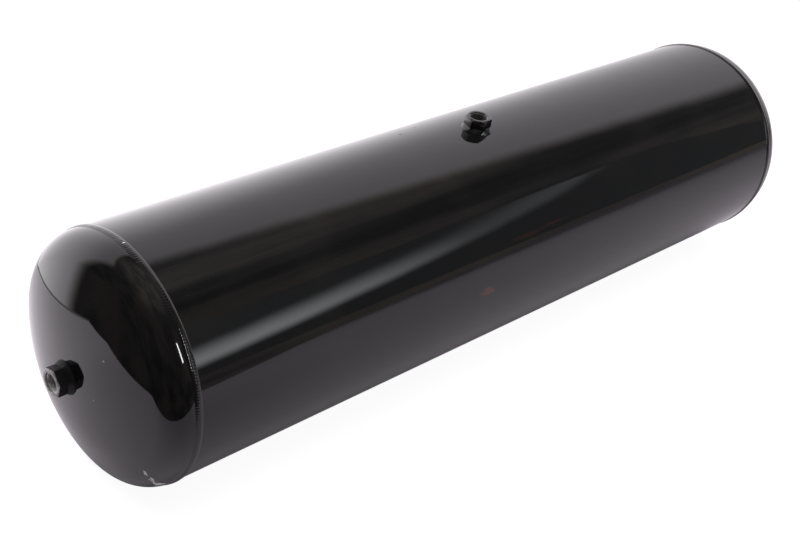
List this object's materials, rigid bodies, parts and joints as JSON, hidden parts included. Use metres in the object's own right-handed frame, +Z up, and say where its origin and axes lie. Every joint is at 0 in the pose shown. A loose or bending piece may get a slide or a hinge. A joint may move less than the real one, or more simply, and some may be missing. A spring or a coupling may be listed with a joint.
{
  "type": "horizontal pressure tank",
  "caption": "Long cylindrical compressed-air reservoir with dished ends, girth welds and welded hex ports tapped on top and in each end.",
  "frame": {"origin": "on the floor under the middle of the tank, which is the bottom centre of its box", "axes": "+X along the tank towards the right-hand end, +Z up through the top port, +Y towards the back"},
  "size_m": [1.1408, 0.2786, 0.2935],
  "materials": {
    "tank_paint": "smooth gloss black paint over steel plate, with a few scuffs and chips",
    "weld_paint": "gloss black paint over rippled weld beads",
    "port_steel": "gloss black paint over turned hex steel, with bare steel on the end face and in the tapped bore"
  },
  "bodies": {
    "root": {"shell": "tank_paint", "shell_seam_weld": "tank_paint", "left_head": "tank_paint", "right_head": "tank_paint", "left_girth_weld": "weld_paint", "right_girth_weld": "weld_paint", "top_port_boss": "port_steel", "top_port_weld": "weld_paint", "left_port_boss": "port_steel", "left_port_weld": "weld_paint", "right_port_boss": "port_steel", "right_port_weld": "weld_paint"}
  },
  "joints": []
}
